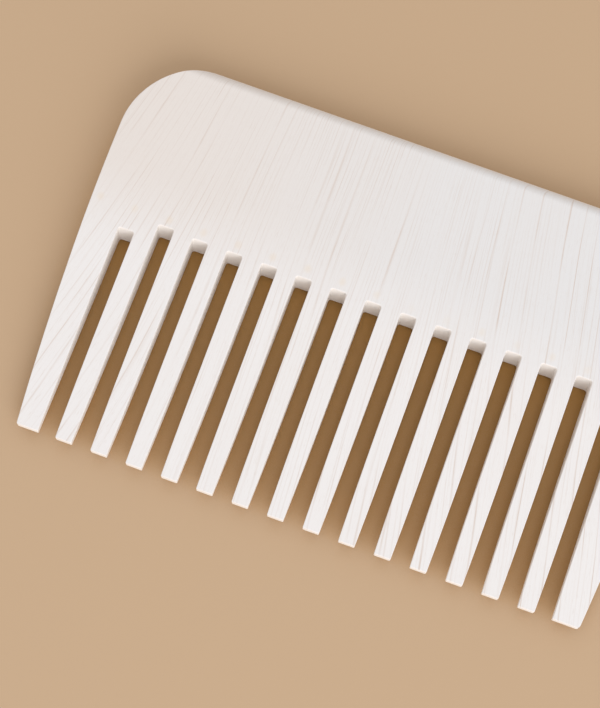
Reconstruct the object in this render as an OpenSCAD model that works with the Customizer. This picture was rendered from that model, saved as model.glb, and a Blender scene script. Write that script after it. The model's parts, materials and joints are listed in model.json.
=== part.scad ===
// Wide-tooth wooden hair comb, sawn from one flat maple board.
// The comb lies flat: X runs along the back, Y from the tooth tips to the back
// edge, Z up. The origin is under the middle of the comb, on the plane that the
// flat lower face of the back rests on.
// The board is drawn as its back and its sixteen teeth, which meet face to face
// at the tooth roots, so that the spaces between the teeth stay open.

/* [Overall] */
// Height of the comb, from the tooth tips to the back edge
comb_h = 67; // [60:1:75]
// Thickness of the board at the back
back_t = 6; // [5:0.5:8]
// Radius of the two rounded corners of the back
corner_r = 14; // [8:0.5:20]
// Radius of the gentle curve of the two sides
side_r = 540; // [450:10:900]
// Radius of the round-over along the back edge, on both faces
back_edge_r = 2.2; // [1.5:0.1:2.4]

/* [Teeth] */
// Number of teeth, with the two end teeth
tooth_count = 16; // [8:1:20]
// Distance from one tooth to the next
tooth_pitch = 6; // [5.5:0.1:7]
// Length of the teeth, from the tips to the bottom of the slots
tooth_l = 38.2; // [30:0.1:42]
// Width of a tooth at its root
tooth_root_w = 3.3; // [2.8:0.1:4]
// Width of a tooth at its tip
tooth_tip_w = 2.85; // [2.2:0.05:3.2]
// Thickness of a tooth at its tip
tip_t = 1.6; // [1.2:0.1:3.5]
// Size of the broken corners at the tips
tip_corner = 0.2; // [0.1:0.05:0.6]
// How much shorter the first and the last slot are than the others
end_slot_short = 2.3; // [0:0.1:5]

/* [Ends] */
// Distance from the middle of the first tooth to the left side
left_margin = 4.6; // [4:0.1:6]
// Distance from the middle of the last tooth to the right side
right_margin = 5.4; // [4:0.1:6]

/* [Faces] */
// How far the two faces stay parallel, from the back edge down
face_flat_l = 19; // [10:1:22]
// Length of the soft bend between the parallel faces and the tapered teeth
face_bend_l = 17.5; // [10:0.5:24]

/* [Hidden] */
wood = "#E9E2DC";

comb_l = left_margin + (tooth_count - 1) * tooth_pitch + right_margin;
left_x = -comb_l / 2;
right_x = comb_l / 2;
back_y = comb_h / 2;
tip_y = -comb_h / 2;
root_y = tip_y + tooth_l;
corner_y = back_y - corner_r;

// Places along the taper, measured from the back edge down
bend_from = face_flat_l;
bend_to = face_flat_l + face_bend_l;
taper = (back_t - tip_t) / 2 / (comb_h - bend_to + face_bend_l / 2);

// The solids are cut out of sheets that reach this far past them
spare = 10;
arc_steps = 8;
$fn = 96;

function pad2(i) = str(i < 10 ? "0" : "", i);
function tooth_name(i) =
    i == 1 ? "end_tooth_left" :
    i == tooth_count ? "end_tooth_right" :
    str("tooth_", pad2(i));
function tooth_x(i) = left_x + left_margin + (i - 1) * tooth_pitch;

// How far one face has dropped from its parallel height, d below the back edge
function face_drop(d) =
    d <= bend_from ? 0 :
    d <= bend_to ? taper * pow(d - bend_from, 2) / 2 / face_bend_l :
    taper * (d - bend_to + face_bend_l / 2);

// One face from the tips up to the back edge, as [y, height above the middle]
face_line = concat(
    [[tip_y - spare, tip_t / 2 - taper * spare]],
    [for (k = [arc_steps:-1:0])
        let (d = bend_from + face_bend_l * k / arc_steps)
        [back_y - d, back_t / 2 - face_drop(d)]],
    [for (k = [0:arc_steps])
        let (a = 90 - 90 * k / arc_steps)
        [back_y - back_edge_r * (1 - cos(a)),
         back_t / 2 - back_edge_r * (1 - sin(a))]]
);

// Side view of the board: parallel back, bent into tapered teeth
module side_view() {
    lower = [for (k = [len(face_line) - 1:-1:0]) [face_line[k][0], -face_line[k][1]]];
    polygon(concat(face_line, lower));
}

// The sheet that gives every sub-part its two faces, lying on the floor plane
module faces() {
    translate([-comb_l / 2 - spare, 0, back_t / 2])
        rotate([90, 0, 90])
            linear_extrude(comb_l + 2 * spare)
                side_view();
}

// Outline of the uncut board, seen from above
module outline() {
    intersection() {
        union() {
            translate([left_x, tip_y])
                square([comb_l, corner_y - tip_y]);
            translate([left_x + corner_r, tip_y])
                square([comb_l - 2 * corner_r, comb_h]);
            for (x = [left_x + corner_r, right_x - corner_r])
                translate([x, corner_y])
                    circle(r = corner_r);
        }
        for (x = [left_x + side_r])
            translate([x, corner_y])
                circle(r = side_r, $fn = 1440);
        for (x = [right_x - side_r])
            translate([x, corner_y])
                circle(r = side_r, $fn = 1440);
    }
}

// A plan shape cut to the board's outline and given its two faces
module from_board() {
    intersection() {
        faces();
        translate([0, 0, -1])
            linear_extrude(back_t + 2)
                intersection() {
                    outline();
                    children();
                }
    }
}

// The ledge that closes a shorter slot, between teeth i and i + 1
module short_slot_ledge(i) {
    translate([tooth_x(i) + tooth_root_w / 2, root_y - end_slot_short])
        square([tooth_pitch - tooth_root_w, end_slot_short + 1]);
}

module back() {
    color(wood)
        from_board()
            union() {
                translate([left_x, root_y])
                    square([comb_l, comb_h]);
                short_slot_ledge(1);
                short_slot_ledge(tooth_count - 1);
            }
}

// Half of a tooth's plan, on the side that s points to (1 right, -1 left)
function tooth_side(s) = [
    [s * tooth_root_w / 2, root_y],
    [s * tooth_tip_w / 2, tip_y + tip_corner],
    [s * (tooth_tip_w / 2 - tip_corner), tip_y]
];

module tooth(i) {
    right = tooth_side(1);
    left = tooth_side(-1);
    color(wood)
        from_board()
            translate([tooth_x(i), 0])
                polygon(concat(right, [left[2], left[1], left[0]]));
}

// An end tooth keeps the width of its root on the inside, and its outer side is
// the side of the board. s is -1 for the left end and 1 for the right end.
module end_tooth(i, s) {
    inner = -s * tooth_root_w / 2;
    outer = s * (max(left_margin, right_margin) + 1);
    color(wood)
        from_board()
            translate([tooth_x(i), 0])
                polygon([
                    [inner, root_y],
                    [inner, tip_y + tip_corner],
                    [inner + s * tip_corner, tip_y],
                    [outer, tip_y],
                    [outer, root_y]
                ]);
}

back();
end_tooth(1, -1);  // end_tooth_left
for (i = [2:tooth_count - 1])
    tooth(i);
end_tooth(tooth_count, 1);  // end_tooth_right
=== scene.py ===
import json
import math

import bmesh
import bpy
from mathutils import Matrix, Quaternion, Vector

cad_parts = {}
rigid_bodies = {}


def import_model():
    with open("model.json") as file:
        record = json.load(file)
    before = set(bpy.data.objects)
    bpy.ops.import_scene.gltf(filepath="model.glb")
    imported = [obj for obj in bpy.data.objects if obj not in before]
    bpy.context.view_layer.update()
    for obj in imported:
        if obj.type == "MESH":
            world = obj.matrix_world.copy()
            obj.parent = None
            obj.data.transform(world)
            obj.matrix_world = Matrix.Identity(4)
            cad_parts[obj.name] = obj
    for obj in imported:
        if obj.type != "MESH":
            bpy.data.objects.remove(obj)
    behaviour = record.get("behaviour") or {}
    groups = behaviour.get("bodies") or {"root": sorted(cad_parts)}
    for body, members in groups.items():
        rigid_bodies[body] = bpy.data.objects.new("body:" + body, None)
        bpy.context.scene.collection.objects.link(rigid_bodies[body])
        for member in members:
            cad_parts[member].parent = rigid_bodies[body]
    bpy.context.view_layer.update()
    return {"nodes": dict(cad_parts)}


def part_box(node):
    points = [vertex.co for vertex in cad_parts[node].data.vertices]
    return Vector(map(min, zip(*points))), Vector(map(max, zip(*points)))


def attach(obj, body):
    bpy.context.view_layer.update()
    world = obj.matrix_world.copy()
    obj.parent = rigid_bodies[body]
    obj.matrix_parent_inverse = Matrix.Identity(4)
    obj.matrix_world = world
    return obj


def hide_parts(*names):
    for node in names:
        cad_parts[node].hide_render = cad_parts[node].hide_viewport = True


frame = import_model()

bl_info = {
    "name": "Wooden Hair Comb",
    "version": (1, 0, 0),
    "blender": (4, 5, 0),
    "location": "View3D > Sidebar > Comb",
    "description": "Wide-tooth comb sawn from one maple board, with its stage",
    "category": "Object",
}

MM = 0.001
BODY = "root"

NODE_BOXES = [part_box(n) for n in frame["nodes"]]
BOARD_LOW = Vector([min(low[k] for low, _ in NODE_BOXES) for k in range(3)])
BOARD_HIGH = Vector([max(high[k] for _, high in NODE_BOXES) for k in range(3)])
TOOTH_NODES = sorted(
    (n for n in frame["nodes"] if n != "back"),
    key=lambda n: sum(c.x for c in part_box(n)),
)


def in_mm(length):
    """A length of the frame, in metres, as millimetres."""
    return length / MM


# ---------------------------------------------------------------- settings


class CombBoardSettings(bpy.types.PropertyGroup):
    """Sizes of the board that the frame doesn't give, in millimetres."""

    corner_radius: bpy.props.FloatProperty(
        name="Corner radius",
        description="Radius of the two rounded corners of the back",
        default=14.0, min=8.0, max=20.0,
    )
    side_radius: bpy.props.FloatProperty(
        name="Side radius",
        description="Radius of the gentle curve of the two sides",
        default=540.0, min=450.0, max=900.0,
    )
    back_edge_radius: bpy.props.FloatProperty(
        name="Back edge radius",
        description="Round-over along the back edge, on both faces",
        default=2.2, min=1.5, max=2.4,
    )
    tip_thickness: bpy.props.FloatProperty(
        name="Tip thickness",
        description="Thickness of the teeth at their tips",
        default=1.6, min=1.2, max=3.5,
    )
    flat_length: bpy.props.FloatProperty(
        name="Parallel length",
        description="How far the two faces stay parallel, from the back edge down",
        default=19.0, min=10.0, max=22.0,
    )
    bend_length: bpy.props.FloatProperty(
        name="Bend length",
        description="Length of the soft bend from the parallel faces to the taper",
        default=17.5, min=10.0, max=24.0,
    )
    tooth_root_width: bpy.props.FloatProperty(
        name="Tooth width",
        description="Width of a tooth at its root",
        default=3.3, min=2.8, max=4.0,
    )
    tooth_tip_width: bpy.props.FloatProperty(
        name="Tooth tip width",
        description="Width of a tooth at its tip",
        default=2.75, min=2.2, max=3.2,
    )
    short_slot: bpy.props.FloatProperty(
        name="Shorter end slots",
        description="How much shorter the first and the last slot are",
        default=2.3, min=1.0, max=3.5,
    )
    arris: bpy.props.FloatProperty(
        name="Arris",
        description="Width of the sanded arrises",
        default=0.13, min=0.1, max=0.3,
    )
    saw_slant: bpy.props.FloatProperty(
        name="Saw slant",
        description="How much shorter the slots are at the lower face than at the upper one",
        default=0.4, min=0.0, max=0.4,
    )
    long_slot: bpy.props.FloatProperty(
        name="Longer second slot",
        description="How much further the second slot from the left was sawn",
        default=0.3, min=0.0, max=0.5,
    )


class MapleSettings(bpy.types.PropertyGroup):
    """Colours and grain of the bare maple, and the painted light on its teeth, walls and right
    end.
    """

    pale: bpy.props.FloatVectorProperty(
        name="Pale wood, left",
        description="Colour of the sanded back between the growth lines, at the left end",
        subtype="COLOR", size=3, default=(0.81, 0.75, 0.72), min=0.0, max=1.0,
    )
    # Painted light: the cooler colour at the right end stands in for the cooler light falling
    # there
    right_in_cooler_light: bpy.props.FloatVectorProperty(
        name="Pale wood, right",
        description="Colour of the sanded back between the growth lines, at the right end",
        subtype="COLOR", size=3, default=(0.80, 0.79, 0.805), min=0.0, max=1.0,
    )
    # Painted light: this paler colour stands in for the light that the teeth's tilted faces catch
    teeth: bpy.props.FloatVectorProperty(
        name="Teeth",
        description="Colour of the teeth, a little paler than the back",
        subtype="COLOR", size=3, default=(0.85, 0.825, 0.83), min=0.0, max=1.0,
    )
    line: bpy.props.FloatVectorProperty(
        name="Growth lines",
        description="Colour of the thin growth lines",
        subtype="COLOR", size=3, default=(0.66, 0.55, 0.49), min=0.0, max=1.0,
    )
    end_grain: bpy.props.FloatVectorProperty(
        name="End grain",
        description="Colour where the saw cut across the fibres",
        subtype="COLOR", size=3, default=(0.79, 0.73, 0.70), min=0.0, max=1.0,
    )
    # Painted light: this paler colour of the upright walls stands in for the light they catch; the
    # wood there is the same as on the faces
    sawn: bpy.props.FloatVectorProperty(
        name="Sawn walls",
        description="Colour of the upright walls between the teeth and round the board",
        subtype="COLOR", size=3, default=(0.93, 0.88, 0.84), min=0.0, max=1.0,
    )
    warm: bpy.props.FloatVectorProperty(
        name="Warm spots",
        description="Tone of the faint spots behind the slots",
        subtype="COLOR", size=3, default=(0.83, 0.70, 0.56), min=0.0, max=1.0,
    )


class StageSettings(bpy.types.PropertyGroup):
    """Floor, light and camera."""

    floor: bpy.props.FloatVectorProperty(
        name="Floor",
        description="Colour of the plain floor",
        subtype="COLOR", size=3, default=(0.573, 0.403, 0.261), min=0.0, max=1.0,
    )
    # Painted shade: the deep brown the floor takes where little light reaches it
    nook_shade: bpy.props.FloatVectorProperty(
        name="Floor in nooks",
        description="Deeper colour of the floor between the teeth, where little light gets in",
        subtype="COLOR", size=3, default=(0.45, 0.24, 0.07), min=0.0, max=1.0,
    )
    key_power: bpy.props.FloatProperty(
        name="Key light",
        description="Power of the soft window-like light from the tooth side",
        default=19.0, min=0.0, unit="POWER",
    )
    fill: bpy.props.FloatProperty(
        name="Room light",
        description="Strength of the even light of the room",
        default=0.75, min=0.0,
    )
    distance: bpy.props.FloatProperty(
        name="Camera distance",
        description="Distance from the camera to the point it looks at",
        default=0.321, min=0.05, unit="LENGTH",
    )
    elevation: bpy.props.FloatProperty(
        name="Camera elevation",
        description="Angle of the line of sight above the floor",
        default=math.radians(75.5), subtype="ANGLE",
    )
    heading: bpy.props.FloatProperty(
        name="Camera heading",
        description="How far the camera stands round to the right of the teeth",
        default=math.radians(14.5), subtype="ANGLE",
    )
    roll: bpy.props.FloatProperty(
        name="Camera roll",
        description="Turn of the picture about the line of sight",
        default=math.radians(5.7), subtype="ANGLE",
    )


# ---------------------------------------------------------------- the board


class BoardShape:
    """Where everything on the board is, in millimetres, with the board's middle plane at z = 0."""

    def __init__(self, s):
        low, high = BOARD_LOW, BOARD_HIGH
        self.s = s
        self.left, self.right = in_mm(low[0]), in_mm(high[0])
        self.tips, self.back = in_mm(low[1]), in_mm(high[1])
        self.thick = in_mm(high[2] - low[2])
        inner = [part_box(n) for n in TOOTH_NODES[1:-1]]
        self.root = in_mm(inner[0][1].y)
        middles = [in_mm(lo.x + hi.x) / 2 for lo, hi in inner]
        pitch = middles[1] - middles[0]
        self.pitch = pitch
        self.teeth = [middles[0] - pitch, *middles, middles[-1] + pitch]
        self.corner = self.back - s.corner_radius
        self.bend_end = self.back - s.flat_length - s.bend_length
        run = self.bend_end - self.tips + s.bend_length / 2
        self.taper = (self.thick - s.tip_thickness) / 2 / run

    def half_thickness(self, y):
        """Half the board's thickness at y: round back edge, parallel faces, bend, taper."""
        s = self.s
        half = self.thick / 2
        round_from = self.back - s.back_edge_radius
        if y > round_from:
            along = min(1.0, (y - round_from) / s.back_edge_radius)
            return half - s.back_edge_radius * (1 - math.sqrt(1 - along * along))
        down = self.back - s.flat_length - y
        if down <= 0:
            return half
        if down <= s.bend_length:
            return half - self.taper * down * down / 2 / s.bend_length
        return half - self.taper * (down - s.bend_length / 2)

    def bow(self, y):
        """How far a side has curved in at y."""
        return max(0.0, self.corner - y) ** 2 / 2 / self.s.side_radius

    def slimness(self, y):
        """A tooth's width at y as a share of its width at the root."""
        s = self.s
        rise = max(0.0, min(1.0, (y - self.tips) / (self.root - self.tips)))
        slim = 1 - s.tooth_tip_width / s.tooth_root_width
        return 1 - slim * math.exp(-TIP_SLIMMING * rise)

    def slot_end(self, i):
        """Where the slot after tooth i stops. The first and the last one are shorter."""
        is_end = i in (0, len(self.teeth) - 2)
        more = self.s.long_slot if i == 1 else 0.0
        return self.root + more - (self.s.short_slot if is_end else 0.0)

    def seam(self, i):
        """Where tooth i is told apart from the back, just below the slots beside it."""
        is_end = i < 2 or i > len(self.teeth) - 3
        return self.root - SEAM_DROP - (self.s.short_slot if is_end else 0.0)


TIP_SLIMMING = 3.2
SEAM_DROP = 1.0
SEAM_GUARD = 0.13
TOOTH_ROWS = (0.035, 0.08, 0.15, 0.25, 0.4, 0.58)
SIDE_STRIP = 1.0
BEND_STEPS = 7
ROUND_STEPS = 9
CORNER_STEPS = 24
ROOT_ROUND = 0.4
TIP_ROUND = 0.18
LEFT_ROUND = 0.25
RIGHT_ROUND = 0.6
SMALL_STEPS = 3
CLEAR_BEHIND = 1.4
ARRIS_FADE = 4.0
FLAT_TURN = 20.0
SHARP_TURN = 70.0
WIDEST = 0.8
CREASE = math.radians(35)
BEVEL_STEPS = 4
NEAR = 1e-3


def new_board(shape):
    """A flat plate of the board's size, one face thick."""
    bm = bmesh.new()
    bmesh.ops.create_grid(bm, x_segments=1, y_segments=1, size=0.5)
    size = (shape.right - shape.left, shape.back - shape.tips, 1)
    bmesh.ops.scale(bm, vec=size, verts=bm.verts)
    middle = ((shape.left + shape.right) / 2, (shape.tips + shape.back) / 2, -shape.thick / 2)
    bmesh.ops.translate(bm, vec=middle, verts=bm.verts)
    return bm


def cut(bm, point, normal):
    """One straight saw line across the whole plate."""
    geom = bm.verts[:] + bm.edges[:] + bm.faces[:]
    bmesh.ops.bisect_plane(bm, geom=geom, dist=NEAR / 10, plane_co=point, plane_no=normal)


def saw_slots(bm, shape):
    """Saws the slots out of the plate and joins what is left into one face."""
    half = shape.s.tooth_root_width / 2
    slots = []
    for i, (a, b) in enumerate(zip(shape.teeth, shape.teeth[1:])):
        slots.append((a + half, b - half, shape.slot_end(i)))
        for x in slots[-1][:2]:
            cut(bm, (x, 0, 0), (1, 0, 0))
    for y in sorted({end for _, _, end in slots}):
        cut(bm, (0, y, 0), (0, 1, 0))
    gone = []
    for f in bm.faces:
        c = f.calc_center_median()
        if any(x0 < c.x < x1 and c.y < end for x0, x1, end in slots):
            gone.append(f)
    bmesh.ops.delete(bm, geom=gone, context="FACES")
    inner = [e for e in bm.edges if len(e.link_faces) == 2]
    bmesh.ops.dissolve_edges(bm, edges=inner, use_verts=False)
    straight = [
        v for v in bm.verts
        if len(v.link_edges) == 2 and v.calc_edge_angle(math.pi) < NEAR
    ]
    bmesh.ops.dissolve_verts(bm, verts=straight)


def thicken(bm, shape):
    """Raises the plate to the board's full thickness."""
    faces = bm.faces[:]
    raised = bmesh.ops.extrude_face_region(bm, geom=faces)["geom"]
    verts = [g for g in raised if isinstance(g, bmesh.types.BMVert)]
    bmesh.ops.translate(bm, vec=(0, 0, shape.thick), verts=verts)
    bmesh.ops.recalc_face_normals(bm, faces=bm.faces)


def upright_edges(bm, test):
    """The vertical edges whose place passes a test."""
    found = []
    for e in bm.edges:
        a, b = (v.co for v in e.verts)
        if abs(a.x - b.x) < NEAR and abs(a.y - b.y) < NEAR and test(a):
            found.append(e)
    return found


def round_upright(bm, edges, radius, steps):
    """Rounds upright edges before the board gets its two faces."""
    bmesh.ops.bevel(
        bm, geom=edges, offset=radius, segments=steps, profile=0.5,
        affect="EDGES", clamp_overlap=False, material=-1,
    )


def cut_rows(bm, shape):
    """Lines across the board wherever its thickness or the teeth's width changes course."""
    s = shape.s
    length = shape.root - shape.tips
    rows = [shape.tips + length * share for share in TOOTH_ROWS]
    rows += [shape.bend_end + s.bend_length * k / BEND_STEPS for k in range(BEND_STEPS + 1)]
    low = shape.slot_end(0) - ROOT_ROUND * 2
    high = shape.slot_end(1) + CLEAR_BEHIND
    rows = [y for y in rows if not low < y < high]
    for y in {shape.seam(0), shape.seam(len(shape.teeth) // 2)}:
        rows += [y - SEAM_GUARD, y, y + SEAM_GUARD]
    for k in range(ROUND_STEPS):
        turn = math.pi / 2 * k / ROUND_STEPS
        rows.append(shape.back - s.back_edge_radius * (1 - math.sin(turn)))
    for y in rows:
        cut(bm, (0, y, 0), (0, 1, 0))


def shape_plan(bm, shape):
    """Bows the two sides and slims the teeth towards their tips."""
    half = shape.s.tooth_root_width / 2
    last = len(shape.teeth) - 1
    for v in bm.verts:
        x, y = v.co.x, v.co.y
        if y < shape.corner and abs(x - shape.left) < NEAR:
            v.co.x += shape.bow(y)
        elif y < shape.corner and abs(x - shape.right) < NEAR:
            v.co.x -= shape.bow(y)
        elif y < shape.root - NEAR:
            i = round((x - shape.teeth[0]) / shape.pitch)
            from_middle = x - shape.teeth[i]
            if 0 < i < last and abs(abs(from_middle) - half) < NEAR:
                v.co.x = shape.teeth[i] + from_middle * shape.slimness(y)


def shape_faces(bm, shape):
    """Gives the two faces their round back edge, bend and taper."""
    half = shape.thick / 2
    for v in bm.verts:
        v.co.z *= shape.half_thickness(v.co.y) / half


def slant_slot_ends(bm, shape):
    """Leans the slots' ends, so that the slots are a little shorter at the lower face."""
    for v in bm.verts:
        inside = shape.left + SIDE_STRIP <= v.co.x <= shape.right - SIDE_STRIP
        if v.co.z > 0 or not inside:
            continue
        for i in range(3):
            end = shape.slot_end(i)
            if end - ROOT_ROUND - NEAR < v.co.y < end + NEAR:
                v.co.y -= shape.s.saw_slant
                break


def tip_round(x, shape):
    """Radius of the small round on the upright corner of a tip at x."""
    outer = shape.bow(shape.tips) + SIDE_STRIP
    if x < shape.left + outer:
        return LEFT_ROUND
    if x > shape.right - outer:
        return RIGHT_ROUND
    return TIP_ROUND


def mark_arrises(bm, shape):
    """Weights every sharp arris by how far it was sanded, and not at all where it's blunt."""
    s = shape.s
    weight = bm.edges.layers.float.new("bevel_weight_edge")
    for e in bm.edges:
        if len(e.link_faces) != 2:
            continue
        a, b = (v.co for v in e.verts)
        upright = abs(a.x - b.x) < NEAR and abs(a.y - b.y) < NEAR
        turn = e.calc_face_angle(0.0)
        if upright and a.y < shape.tips + NEAR:
            e[weight] = tip_round(a.x, shape) / WIDEST
            continue
        fade = (math.degrees(turn) - FLAT_TURN) / (SHARP_TURN - FLAT_TURN)
        if upright or fade <= 0:
            continue
        blunt = max(a.y, b.y) - (shape.back - s.back_edge_radius - ARRIS_FADE)
        fade = min(1.0, fade, 1.0 - blunt / ARRIS_FADE)
        if fade > 0:
            e[weight] = s.arris * fade / WIDEST


def finished_board(shape):
    """The whole board as one closed bmesh, in millimetres, with its arrises sanded."""
    s = shape.s
    bm = new_board(shape)
    saw_slots(bm, shape)
    thicken(bm, shape)
    corners = upright_edges(bm, lambda p: p.y > shape.back - NEAR)
    round_upright(bm, corners, s.corner_radius, CORNER_STEPS)
    cut_rows(bm, shape)
    shape_plan(bm, shape)
    ends_at = {shape.slot_end(i) for i in range(3)}
    at_roots = upright_edges(
        bm, lambda p: any(abs(p.y - y) < NEAR for y in ends_at)
        and shape.left + SIDE_STRIP < p.x < shape.right - SIDE_STRIP
    )
    round_upright(bm, at_roots, ROOT_ROUND, SMALL_STEPS)
    shape_faces(bm, shape)
    slant_slot_ends(bm, shape)
    mark_arrises(bm, shape)
    return bm


def sand(bm, shape):
    """Runs the weighted bevel over the board and gives back the result."""
    mesh = bpy.data.meshes.new("board_blank")
    bm.to_mesh(mesh)
    bm.free()
    blank = bpy.data.objects.new("board_blank", mesh)
    bpy.context.scene.collection.objects.link(blank)
    bevel = blank.modifiers.new("sanding", "BEVEL")
    bevel.limit_method = "WEIGHT"
    bevel.width = WIDEST
    bevel.segments = BEVEL_STEPS
    bevel.use_clamp_overlap = False
    bpy.context.view_layer.update()
    done = blank.evaluated_get(bpy.context.evaluated_depsgraph_get())
    sanded = bmesh.new()
    sanded.from_mesh(done.to_mesh())
    done.to_mesh_clear()
    bpy.data.objects.remove(blank)
    bpy.data.meshes.remove(mesh)
    for v in sanded.verts:
        v.co.z = max(-shape.thick / 2, min(shape.thick / 2, v.co.z))
    bmesh.ops.translate(sanded, vec=(0, 0, shape.thick / 2), verts=sanded.verts)
    bmesh.ops.scale(sanded, vec=(MM, MM, MM), verts=sanded.verts)
    return sanded


def tooth_of(point, shape):
    """The number of the tooth that a point lies on, or None on the back."""
    x, y = in_mm(point.x), in_mm(point.y)
    i = round((x - shape.teeth[0]) / shape.pitch)
    i = max(0, min(len(shape.teeth) - 1, i))
    return i if y < shape.seam(i) else None


def part_of(board, shape, number):
    """A copy of the board with only one tooth left, or only the back, and its cut closed."""
    bm = board.copy()
    gone = [f for f in bm.faces if tooth_of(f.calc_center_median(), shape) != number]
    bmesh.ops.delete(bm, geom=gone, context="FACES")
    rims = [e for e in bm.edges if len(e.link_faces) == 1]
    for e in rims:
        e.smooth = False
    bmesh.ops.holes_fill(bm, edges=rims, sides=0)
    return bm


def as_piece(bm, name, node, wood):
    """A finished piece that stands for one CAD node."""
    for f in bm.faces:
        f.smooth = True
    for e in bm.edges:
        if e.calc_face_angle(0.0) > CREASE:
            e.smooth = False
    mesh = bpy.data.meshes.new(name)
    bm.to_mesh(mesh)
    bm.free()
    mesh.materials.append(wood)
    piece = bpy.data.objects.new(name, mesh)
    bpy.context.scene.collection.objects.link(piece)
    shading = piece.modifiers.new("even shading", "WEIGHTED_NORMAL")
    shading.mode = "FACE_AREA"
    shading.weight = 100
    shading.keep_sharp = True
    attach(piece, BODY)
    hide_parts(node)
    return piece


# ---------------------------------------------------------------- the wood


class Nodes:
    """Short calls for building one node tree."""

    def __init__(self, material):
        material.use_nodes = True
        self.tree = material.node_tree
        self.tree.nodes.clear()

    def add(self, kind, **values):
        """A new node with its settings."""
        node = self.tree.nodes.new(kind)
        for key, value in values.items():
            setattr(node, key, value)
        return node

    def put(self, socket, value):
        """Links a socket to another one, or sets its value."""
        if isinstance(value, bpy.types.NodeSocket):
            self.tree.links.new(value, socket)
        else:
            socket.default_value = value

    def math(self, what, a, b=0.0, clamp=False):
        """One sum on one or two values."""
        node = self.add("ShaderNodeMath", operation=what, use_clamp=clamp)
        self.put(node.inputs[0], a)
        self.put(node.inputs[1], b)
        return node.outputs[0]

    def ramp(self, value, low, high, to_low=0.0, to_high=1.0):
        """A smooth step of value from low to high."""
        node = self.add("ShaderNodeMapRange", interpolation_type="SMOOTHSTEP")
        for socket, v in zip(node.inputs, (value, low, high, to_low, to_high)):
            self.put(socket, v)
        return node.outputs[0]

    def vector(self, x, y, z):
        """A vector of three values."""
        node = self.add("ShaderNodeCombineXYZ")
        for socket, v in zip(node.inputs, (x, y, z)):
            self.put(socket, v)
        return node.outputs[0]

    def scaled(self, values, scales):
        """A vector of three values, each times its own scale."""
        return self.vector(*(self.math("MULTIPLY", v, k) for v, k in zip(values, scales)))

    def noise(self, at, detail=2.0, roughness=0.5):
        """Noise from 0 to 1 at a place."""
        node = self.add("ShaderNodeTexNoise", noise_dimensions="3D")
        self.put(node.inputs["Vector"], at)
        node.inputs["Scale"].default_value = 1.0
        node.inputs["Detail"].default_value = detail
        node.inputs["Roughness"].default_value = roughness
        node.inputs["Distortion"].default_value = 0.0
        return node.outputs["Fac"]

    def mix(self, share, a, b):
        """Colour a turned into colour b by a share."""
        node = self.add("ShaderNodeMix", data_type="RGBA")
        self.put(node.inputs["Factor"], share)
        self.put(node.inputs["A"], a)
        self.put(node.inputs["B"], b)
        return node.outputs["Result"]


def rgba(colour):
    """A colour with full cover."""
    return (*colour, 1.0)


def growth_lines(n, across, along, depth, spacing, width):
    """Thin growth lines that run with the fibres, each with its own strength."""
    at = n.scaled((across, along, depth), (0.22 / spacing, 0.006, 0.1))
    wobble = n.noise(at, detail=1.0, roughness=0.4)
    phase = n.math("ADD", n.math("DIVIDE", across, spacing), n.math("MULTIPLY", wobble, 4.0))
    number = n.math("FLOOR", phase)
    part = n.math("SUBTRACT", n.math("SUBTRACT", phase, number), 0.5)
    off = n.math("MULTIPLY", n.math("ABSOLUTE", part), spacing)
    own_at = n.vector(n.math("MULTIPLY", number, 7.3), n.math("MULTIPLY", along, 0.07), 0.0)
    own = n.ramp(n.noise(own_at, detail=2.0), 0.36, 0.64, 0.2, 1.0)
    return n.math("MULTIPLY", n.ramp(off, 0.0, width, 1.0, 0.0), own)


# The lean of the fibres, and where along the comb it starts and is full
LEFT_LEAN = 0.27
LEFT_LEAN_FROM = -12.0
LEFT_LEAN_TO = -52.0
RIGHT_LEAN = -0.16
RIGHT_LEAN_FROM = -8.0
RIGHT_LEAN_TO = 26.0
LEAN_PIVOT = 4.0
# Distances between growth lines, and half the width of a line
COARSE_SPACING = 1.5
COARSE_WIDTH = 0.17
FINE_SPACING = 0.72
FINE_WIDTH = 0.13
WIDE_SPACING = 3.4
WIDE_WIDTH = 0.2
# The warm spots behind the slots
SPOT_BEHIND = 0.9
SPOT_HALF_WIDTH = 0.75
SPOT_HALF_LENGTH = 0.95
SPOT_STRENGTH = 0.34
# Height of the sanded grain
GRAIN_HEIGHT = 0.00004


def across_fibres(n, x, y, z):
    """Distance across the fibres, which lean over at the left and a little back at the right."""
    left = n.ramp(x, LEFT_LEAN_FROM, LEFT_LEAN_TO, 0.0, LEFT_LEAN)
    right = n.ramp(x, RIGHT_LEAN_FROM, RIGHT_LEAN_TO, 0.0, RIGHT_LEAN)
    lean = n.math("ADD", left, right)
    drift_at = n.vector(n.math("MULTIPLY", x, 0.035), n.math("MULTIPLY", y, 0.03), 0.0)
    drift = n.noise(drift_at, detail=1.0)
    along = n.math("ADD", y, LEAN_PIVOT)
    across = n.math("SUBTRACT", x, n.math("MULTIPLY", lean, along))
    across = n.math("ADD", across, n.math("MULTIPLY", drift, 1.2))
    return n.math("ADD", across, n.math("MULTIPLY", z, 0.55))


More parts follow.
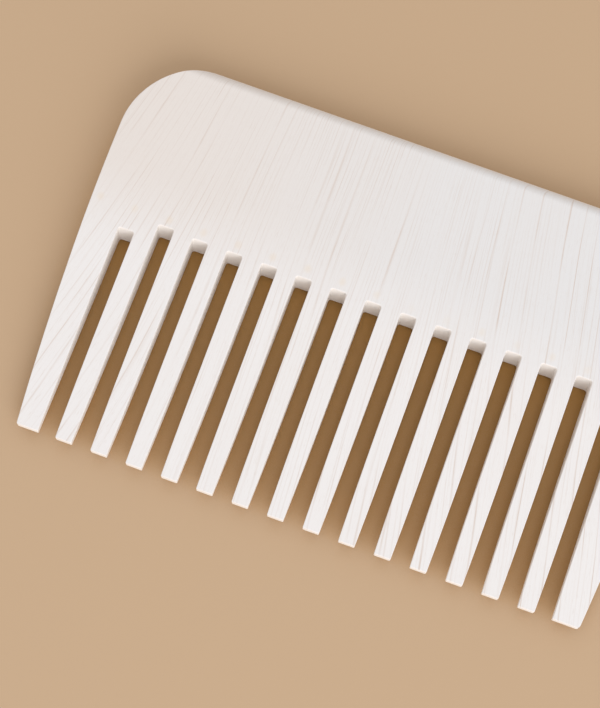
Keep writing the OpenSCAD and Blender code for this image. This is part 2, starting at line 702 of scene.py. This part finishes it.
def all_lines(n, x, y, z, across):
    """Growth lines: coarse at the left, fine in the middle, wide apart at the right."""
    patch_at = n.vector(n.math("MULTIPLY", across, 0.16), n.math("MULTIPLY", y, 0.05), 3.0)
    strong = n.ramp(n.noise(patch_at, detail=2.0), 0.38, 0.62, 0.35, 1.0)
    close = n.ramp(x, -34.0, -6.0)
    coarse = growth_lines(n, across, y, z, COARSE_SPACING, COARSE_WIDTH)
    coarse = n.math("MULTIPLY", coarse, n.ramp(close, 0.0, 1.0, 0.62, 0.3))
    coarse = n.math("MULTIPLY", coarse, strong)
    fine = growth_lines(n, n.math("ADD", across, 40.0), y, z, FINE_SPACING, FINE_WIDTH)
    fine = n.math("MULTIPLY", fine, n.ramp(close, 0.0, 1.0, 0.2, 0.56))
    fine = n.math("MULTIPLY", fine, strong)
    fine = n.math("MULTIPLY", fine, n.ramp(x, 2.0, 20.0, 1.0, 0.45))
    wide = growth_lines(n, n.math("ADD", across, 80.0), y, z, WIDE_SPACING, WIDE_WIDTH)
    wide = n.math("MULTIPLY", wide, n.ramp(x, 2.0, 20.0, 0.0, 0.8))
    return n.math("ADD", n.math("ADD", coarse, wide), fine, clamp=True)


def warm_spots(n, shape, x, y):
    """How warm the wood is: most in a small spot just behind each slot."""
    first_gap = (shape.teeth[0] + shape.teeth[1]) / 2
    turn = n.math("DIVIDE", n.math("SUBTRACT", x, first_gap), shape.pitch)
    number = n.math("ROUND", turn)
    from_gap = n.math("MULTIPLY", n.math("SUBTRACT", turn, number), shape.pitch)
    wander = n.noise(n.vector(n.math("MULTIPLY", number, 3.7), 0.0, 0.0), detail=0.0)
    middle = n.math("ADD", wander, shape.root + SPOT_BEHIND)
    sideways = n.math("DIVIDE", from_gap, SPOT_HALF_WIDTH)
    lengthways = n.math("DIVIDE", n.math("SUBTRACT", y, middle), SPOT_HALF_LENGTH)
    squares = n.math("ADD", n.math("POWER", sideways, 2.0), n.math("POWER", lengthways, 2.0))
    spots = n.ramp(n.math("SQRT", squares), 0.2, 1.15, SPOT_STRENGTH, 0.0)
    return n.math("MULTIPLY", spots, n.ramp(wander, 0.35, 0.6, 0.3, 1.0))


def maple(shape, s):
    """Bare fine-sanded maple: leaning growth lines and end grain, with painted light: paler teeth,
    paler upright walls and a cooler tint towards the right end.
    """
    material = bpy.data.materials.new("maple")
    n = Nodes(material)
    place = n.add("ShaderNodeTexCoord")
    in_mm_node = n.add("ShaderNodeVectorMath", operation="SCALE")
    n.put(in_mm_node.inputs["Vector"], place.outputs["Object"])
    in_mm_node.inputs["Scale"].default_value = 1 / MM
    split = n.add("ShaderNodeSeparateXYZ")
    n.put(split.inputs[0], in_mm_node.outputs[0])
    x, y, z = split.outputs
    across = across_fibres(n, x, y, z)

    # Growth lines and flecks on the wood, over a colour with painted light in it
    fibres = n.noise(n.scaled((across, y, z), (9.0, 0.55, 6.0)), detail=3.0, roughness=0.6)
    flecks = n.ramp(fibres, 0.55, 0.72, 0.0, 0.24)
    lines = n.math("ADD", all_lines(n, x, y, z, across), flecks, clamp=True)
    # Painted light: the back's colour turns cooler towards the right end, for the cooler light
    # falling there
    back = n.mix(n.ramp(x, shape.left, 20.0), rgba(s.pale), rgba(s.right_in_cooler_light))
    # Painted light: the teeth are painted paler than the back, for the light their tilted faces
    # catch
    teeth_painted_lighter = n.ramp(y, shape.back - shape.s.flat_length, shape.bend_end)
    clean_with_painted_light = n.mix(teeth_painted_lighter, back, rgba(s.teeth))
    wood = n.mix(lines, clean_with_painted_light, rgba(s.line))

    # Soft broad clouds of tone
    clouds_at = n.vector(n.math("MULTIPLY", across, 0.09), n.math("MULTIPLY", y, 0.025), 8.0)
    clouds = n.ramp(n.noise(clouds_at, detail=2.0), 0.35, 0.7, 0.0, 0.14)
    wood = n.mix(clouds, wood, rgba(s.end_grain))

    # End grain where the surface faces along the fibres
    normal = n.add("ShaderNodeSeparateXYZ")
    n.put(normal.inputs[0], place.outputs["Normal"])
    ends = n.ramp(n.math("ABSOLUTE", normal.outputs[1]), 0.25, 0.95)
    pores = n.noise(n.scaled((across, y, z), (3.2, 0.3, 3.2)), detail=3.0)
    ends = n.math("MULTIPLY", ends, n.ramp(pores, 0.35, 0.7, 0.55, 1.0))
    wood = n.mix(ends, wood, rgba(s.end_grain))

    # Painted light on the upright walls, paler than the faces, then the warm spots
    walls = n.ramp(n.math("ABSOLUTE", normal.outputs[2]), 0.75, 0.25)
    wood = n.mix(n.math("MULTIPLY", walls, 0.85), wood, rgba(s.sawn))
    wood = n.mix(warm_spots(n, shape, x, y), wood, rgba(s.warm))

    # Grain that can just be felt
    grain = n.noise(n.scaled((across, y, z), (16.0, 1.1, 14.0)), detail=3.0, roughness=0.65)
    bump = n.add("ShaderNodeBump")
    bump.inputs["Strength"].default_value = 0.35
    bump.inputs["Distance"].default_value = GRAIN_HEIGHT
    n.put(bump.inputs["Height"], n.math("SUBTRACT", grain, n.math("MULTIPLY", lines, 0.8)))

    skin = n.add("ShaderNodeBsdfPrincipled")
    n.put(skin.inputs["Base Color"], wood)
    n.put(skin.inputs["Roughness"], n.ramp(fibres, 0.3, 0.7, 0.50, 0.62))
    skin.inputs["Specular IOR Level"].default_value = 0.35
    n.put(skin.inputs["Normal"], bump.outputs[0])
    out = n.add("ShaderNodeOutputMaterial")
    n.put(out.inputs["Surface"], skin.outputs[0])
    return material


# ---------------------------------------------------------------- the stage


def plain_floor(s):
    """A wide matt floor under the comb, with painted shade where the comb is close."""
    bm = bmesh.new()
    bmesh.ops.create_grid(bm, x_segments=1, y_segments=1, size=FLOOR_HALF)
    bmesh.ops.translate(bm, vec=(0, 0, BOARD_LOW.z - FLOOR_GAP), verts=bm.verts)
    mesh = bpy.data.meshes.new("floor")
    bm.to_mesh(mesh)
    bm.free()
    material = bpy.data.materials.new("floor")
    n = Nodes(material)
    # Painted shade: the floor darkens to a deep brown where the comb is close, between the teeth
    # and along its edges
    nook_shade = n.add("ShaderNodeAmbientOcclusion", samples=8)
    nook_shade.inputs["Distance"].default_value = NOOK_REACH
    open_air = n.ramp(nook_shade.outputs["AO"], 0.1, 0.75)
    skin = n.add("ShaderNodeBsdfPrincipled")
    n.put(skin.inputs["Base Color"], n.mix(open_air, rgba(s.nook_shade), rgba(s.floor)))
    skin.inputs["Roughness"].default_value = 0.85
    skin.inputs["Specular IOR Level"].default_value = 0.2
    out = n.add("ShaderNodeOutputMaterial")
    n.put(out.inputs["Surface"], skin.outputs[0])
    mesh.materials.append(material)
    floor = bpy.data.objects.new("floor", mesh)
    bpy.context.scene.collection.objects.link(floor)


FLOOR_HALF = 3.0
FLOOR_GAP = 0.0002
NOOK_REACH = 0.014
KEY_FROM = Vector((0.5, -0.87, 0.0))
KEY_RISE = math.radians(30)
KEY_AWAY = 1.6
KEY_SIZE = 1.6
KEY_COLOUR = (0.95, 0.975, 1.0)
ROOM_COLOUR = (1.0, 0.975, 0.94)
TARGET = Vector((-0.0087, -0.00755, 0.006))
LENS = 67.8
FILM = 24.0


def window_light(s):
    """One large soft light, low on the side of the tooth tips."""
    light = bpy.data.lights.new("window", "AREA")
    light.shape = "SQUARE"
    light.size = KEY_SIZE
    light.energy = s.key_power
    light.color = KEY_COLOUR
    lamp = bpy.data.objects.new("window", light)
    flat = KEY_FROM.normalized() * math.cos(KEY_RISE)
    away = Vector((flat.x, flat.y, math.sin(KEY_RISE)))
    lamp.location = away * KEY_AWAY
    lamp.rotation_mode = "QUATERNION"
    lamp.rotation_quaternion = away.to_track_quat("Z", "Y")
    bpy.context.scene.collection.objects.link(lamp)


def room_light(s):
    """Even light from the whole room."""
    world = bpy.data.worlds.new("room")
    world.use_nodes = True
    sky = world.node_tree.nodes["Background"]
    sky.inputs["Color"].default_value = rgba(ROOM_COLOUR)
    sky.inputs["Strength"].default_value = s.fill
    bpy.context.scene.world = world


def camera(s):
    """The camera, above the comb and a little to the tooth side."""
    data = bpy.data.cameras.new("camera")
    data.sensor_fit = "VERTICAL"
    data.sensor_height = FILM
    data.lens = LENS
    eye = bpy.data.objects.new("camera", data)
    flat = math.cos(s.elevation)
    away = Vector((
        flat * math.sin(s.heading),
        -flat * math.cos(s.heading),
        math.sin(s.elevation),
    ))
    eye.location = TARGET + away * s.distance
    eye.rotation_mode = "QUATERNION"
    eye.rotation_quaternion = away.to_track_quat("Z", "Y") @ Quaternion((0, 0, 1), s.roll)
    bpy.context.scene.collection.objects.link(eye)
    bpy.context.scene.camera = eye


# ---------------------------------------------------------------- operators


class COMB_OT_board(bpy.types.Operator):
    """Make the back and the teeth from one sanded maple board"""

    bl_idname = "comb.board"
    bl_label = "Comb Board"

    def execute(self, context):
        scene = context.scene
        shape = BoardShape(scene.comb_board)
        wood = maple(shape, scene.comb_maple)
        board = sand(finished_board(shape), shape)
        as_piece(part_of(board, shape, None), "comb_back", "back", wood)
        for number, node in enumerate(TOOTH_NODES):
            as_piece(part_of(board, shape, number), "comb_" + node, node, wood)
        board.free()
        made = sum(o.name.startswith("comb_") for o in scene.objects)
        if made != len(TOOTH_NODES) + 1:
            raise RuntimeError("The board did not give one piece for every node")
        return {"FINISHED"}


class COMB_OT_stage(bpy.types.Operator):
    """Set up the plain floor, the soft light and the camera"""

    bl_idname = "comb.stage"
    bl_label = "Stage"

    def execute(self, context):
        s = context.scene.comb_stage
        plain_floor(s)
        window_light(s)
        room_light(s)
        camera(s)
        context.scene.view_settings.view_transform = "Standard"
        if context.scene.camera is None:
            raise RuntimeError("The scene has no camera")
        return {"FINISHED"}


class COMB_PT_panel(bpy.types.Panel):
    """Lists the comb's operators and settings"""

    bl_label = "Wooden Comb"
    bl_idname = "COMB_PT_panel"
    bl_space_type = "VIEW_3D"
    bl_region_type = "UI"
    bl_category = "Comb"

    def draw(self, context):
        scene = context.scene
        for heading, group in (
            ("Board", scene.comb_board),
            ("Maple", scene.comb_maple),
            ("Stage", scene.comb_stage),
        ):
            box = self.layout.box()
            box.label(text=heading)
            for name in group.bl_rna.properties.keys():
                if name not in {"rna_type", "name"}:
                    box.prop(group, name)
        self.layout.operator(COMB_OT_board.bl_idname)
        self.layout.operator(COMB_OT_stage.bl_idname)


CLASSES = (
    CombBoardSettings,
    MapleSettings,
    StageSettings,
    COMB_OT_board,
    COMB_OT_stage,
    COMB_PT_panel,
)


def register():
    """Adds the operators, the panel and the settings to Blender."""
    for c in CLASSES:
        bpy.utils.register_class(c)
    bpy.types.Scene.comb_board = bpy.props.PointerProperty(type=CombBoardSettings)
    bpy.types.Scene.comb_maple = bpy.props.PointerProperty(type=MapleSettings)
    bpy.types.Scene.comb_stage = bpy.props.PointerProperty(type=StageSettings)


def unregister():
    """Takes them away again."""
    del bpy.types.Scene.comb_stage
    del bpy.types.Scene.comb_maple
    del bpy.types.Scene.comb_board
    for c in reversed(CLASSES):
        bpy.utils.unregister_class(c)


def main():
    """Builds the stage and the comb."""
    register()
    bpy.ops.comb.stage()
    bpy.ops.comb.board()


if __name__ == "__main__":
    main()
